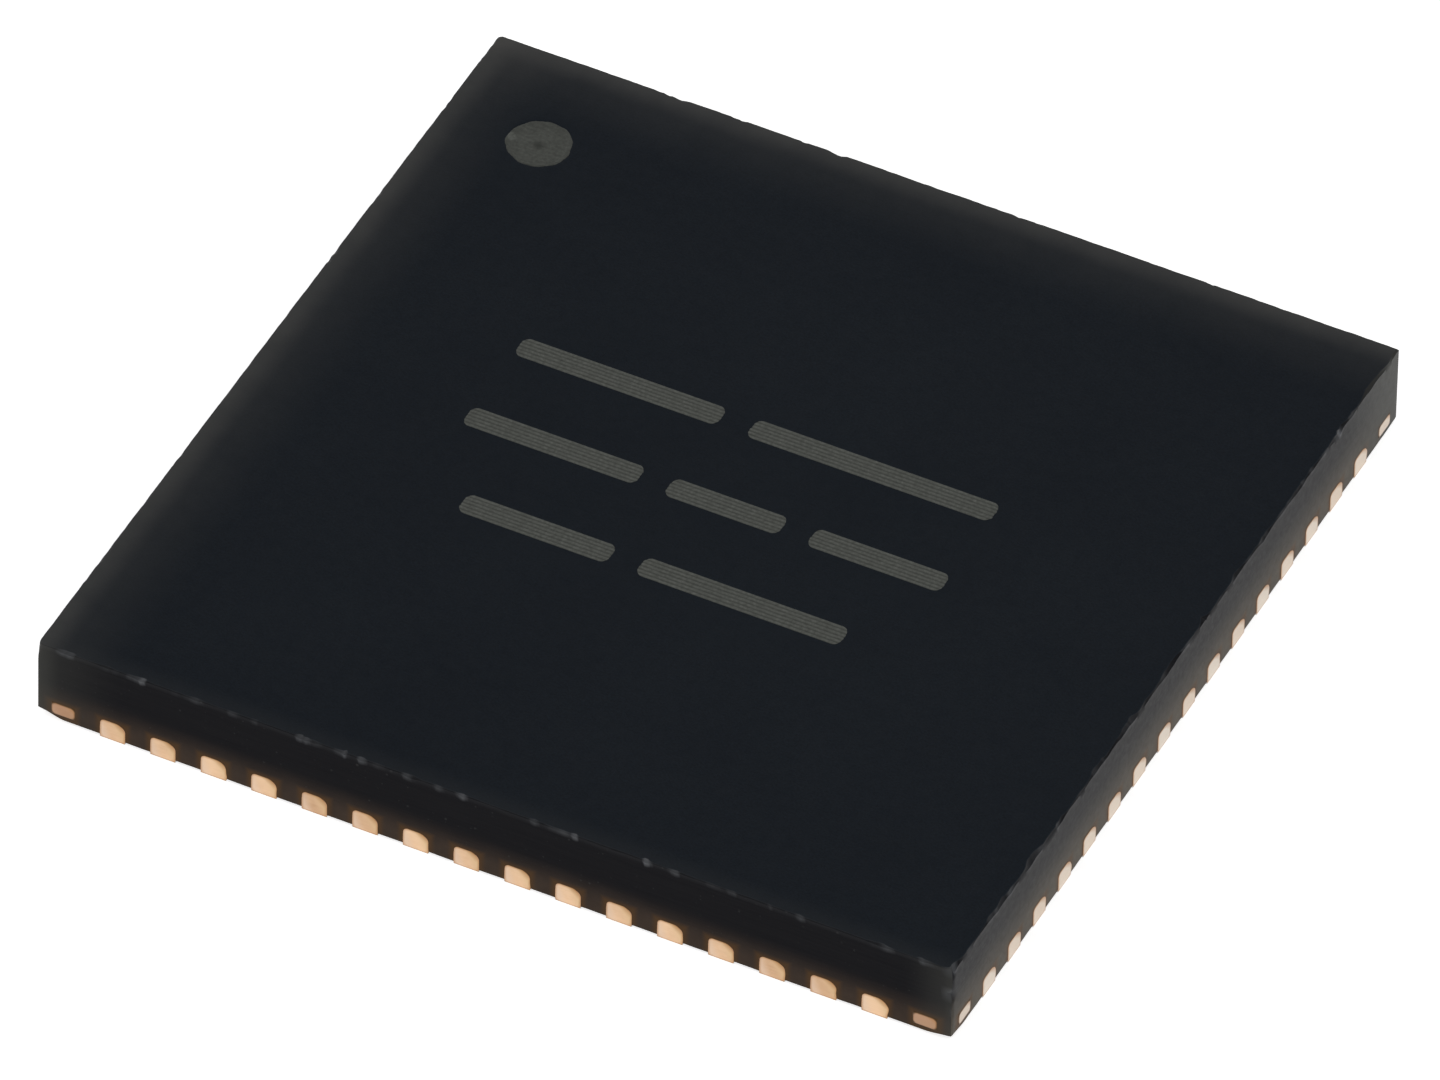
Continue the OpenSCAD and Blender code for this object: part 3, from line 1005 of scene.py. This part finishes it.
copperLook = dict(
    bright=(0.78, 0.55, 0.36),
    deep=(0.54, 0.34, 0.20),
    toneRange=(0.25, 0.7),
    streakWeight=0.3,  # what makes up the tone: streaks, patches and a draw for each end
    patchWeight=0.3,
    drawWeight=0.45,
    streak=(1.0, 3, 0.6),
    streakStretch=(2.5, 2.5, 60),
    streakTurn=(0.1, 0.1, 0),
    patch=(9, 2, 0.5),
    left=(0.71, 0.545, 0.42),  # painted light and shade across an end: paler towards its left edge, darker orange towards its right
    leftFade=(0.45, 0.0, 0.7),  # start and end across it, and share
    right=(0.65, 0.465, 0.265),
    rightFade=(0.5, 1.0, 0.7),
    red=(0.36, 0.20, 0.12),  # tie bar ends
    redShares=(0.8, 0.15),  # off the east side and on it
    pale=(0.68, 0.605, 0.52),  # painted glare: east lead ends paler where the strong light falls
    paleShares=(0.74, 1.0),  # least and most, by the draw for each end
    # rim: copper smeared at the edges, and painted shade of the rounded rims
    rim=(0.40, 0.19, 0.07),
    rimFrom=0.25,
    rimShare=0.8,
    soil=(0.065, 0.038, 0.018),
    roughness=(0.36, 0.5),
    lineHeight=0.0006,
)


def copperFinish(look):
    # streaked copper that differs from end to end, with painted shading across each end, rims darker from
    # smear and painted shade, a painted glare on the east ends, and smear on the tie bar ends
    material, tree, at = startFinish("sawnCopper", {"Metallic": 1.0})
    streak = noise(tree, stretched(tree, at, look["streakStretch"], look["streakTurn"]), *look["streak"])
    patch = noise(tree, at, *look["patch"])
    draw, east = attribute(tree, "tone"), attribute(tree, "east")
    mixed = combine(tree, "ADD", multiply(tree, streak, look["streakWeight"]),
                    multiply(tree, patch, look["patchWeight"]))
    tone = combine(tree, "ADD", mixed, multiply(tree, draw, look["drawWeight"]))
    colour = shades(tree, tone, look["deep"], look["bright"], *look["toneRange"])
    across = attribute(tree, "across")
    # painted shading across each end: paler on the left, darker orange on the right
    colour = blend(tree, fade(tree, across, *look["leftFade"]), colour, look["left"])
    colour = blend(tree, fade(tree, across, *look["rightFade"]), colour, look["right"])
    # painted glare on the east lead ends
    paled = multiply(tree, east, remap(tree, draw, 0.0, 1.0, *look["paleShares"]))
    colour = blend(tree, paled, colour, look["pale"])
    reddened = multiply(tree, attribute(tree, "tie"), remap(tree, east, 0.0, 1.0, *look["redShares"]))
    colour = blend(tree, reddened, colour, look["red"])
    # darker rims: smear and painted shade
    rim = remap(tree, attribute(tree, "rim"), look["rimFrom"], 1.0, 0.0, look["rimShare"])
    colour = blend(tree, rim, colour, look["rim"])
    colour = blend(tree, attribute(tree, "soil"), colour, look["soil"])
    roughness = spread(tree, streak, *look["roughness"])
    return finishShader(material, colour, roughness, streak, look["lineHeight"])


frameLook = dict(
    copper=(0.66, 0.40, 0.23),
    tarnish=(0.48, 0.27, 0.16),
    cloud=(2.2, 4, 0.6),
    tin=(0.60, 0.59, 0.57),
    tinDark=(0.47, 0.46, 0.45),
    tinRange=(0.35, 0.6),
    platedBlur=0.1,  # of the height of the moulding's underside
    grain=(38, 3, 0.7),
    roughness=(0.38, 0.56),
    grainHeight=0.0012,
)


def frameFinish(look):
    # etched copper above, matte tin on what stands below the moulding
    material, tree, at = startFinish("etchedFrame", {"Metallic": 1.0})
    cloud, grain = noise(tree, at, *look["cloud"]), noise(tree, at, *look["grain"])
    copper = shades(tree, cloud, look["tarnish"], look["copper"])
    mean = combine(tree, "ADD", multiply(tree, cloud, 0.5), multiply(tree, grain, 0.5))
    tin = shades(tree, mean, look["tinDark"], look["tin"], *look["tinRange"])
    height = addNode(tree, "SeparateXYZ", {"Vector": at}).outputs["Z"]
    blur = look["platedBlur"]
    plated = remap(tree, height, underHeight * (1 + blur), underHeight * (1 - blur))
    colour = blend(tree, plated, copper, tin)
    roughness = spread(tree, grain, *look["roughness"])
    return finishShader(material, colour, roughness, grain, look["grainHeight"])


sealedLooks = {
    "silicon_die": dict(
        finish="polishedSilicon", dark=(0.13, 0.15, 0.18), light=(0.18, 0.20, 0.23), metallic=0.0,
        cloud=(1.2, 4, 0.6), grain=(9.6, 3, 0.6), roughness=(0.12, 0.22), grainHeight=0.0002,
    ),
    "die_attach": dict(
        finish="curedGlue", dark=(0.42, 0.42, 0.41), light=(0.55, 0.55, 0.54), metallic=0.0,
        cloud=(6.0, 4, 0.6), grain=(48.0, 3, 0.6), roughness=(0.5, 0.65), grainHeight=0.0015,
    ),
    "wires": dict(
        finish="drawnWire", dark=(0.66, 0.40, 0.17), light=(0.76, 0.50, 0.24), metallic=1.0,
        cloud=(9.0, 4, 0.6), grain=(72.0, 3, 0.6), roughness=(0.2, 0.3), grainHeight=0.0003,
    ),
}


def sealedFinish(look):
    # sealed pieces: cloudy colour, a roughness that follows it, and a fine grain
    material, tree, at = startFinish(look["finish"], {"Metallic": look["metallic"]})
    cloud = noise(tree, at, *look["cloud"])
    colour = shades(tree, cloud, look["dark"], look["light"])
    roughness = spread(tree, cloud, *look["roughness"])
    return finishShader(material, colour, roughness, noise(tree, at, *look["grain"]), look["grainHeight"])


def dressNode(name, material):
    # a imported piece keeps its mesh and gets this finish
    mesh = nodes[name].data
    mesh.materials.clear()
    mesh.materials.append(material)


moulded, sawn = mouldedFinish(mouldedLook), sawnFinish(sawnLook, sawnEnds)
laser = laserFinish(laserLook)
sawnCopper = copperFinish(copperLook)
framePlate = frameFinish(frameLook)
sealed = {key: sealedFinish(look) for key, look in sealedLooks.items()}
print("finishes: moulded and sawn epoxy, laser mark, copper, tin and the sealed pieces")

mouldSkin(mouldShape, firstMark, [moulded, sawn])
laserBars(markBars, firstMark, laser)
markDisc(discShape, firstMark, laser)
copperEnds(sawnEnds, sawnCopper)
for name in nodes:
    if name == "die_pad" or name.startswith("leads"):
        dressNode(name, framePlate)
    elif name != "mould_body":
        dressNode(name, sealed["wires" if name.startswith("wires") else name])
print("nodes: every packed piece dressed")
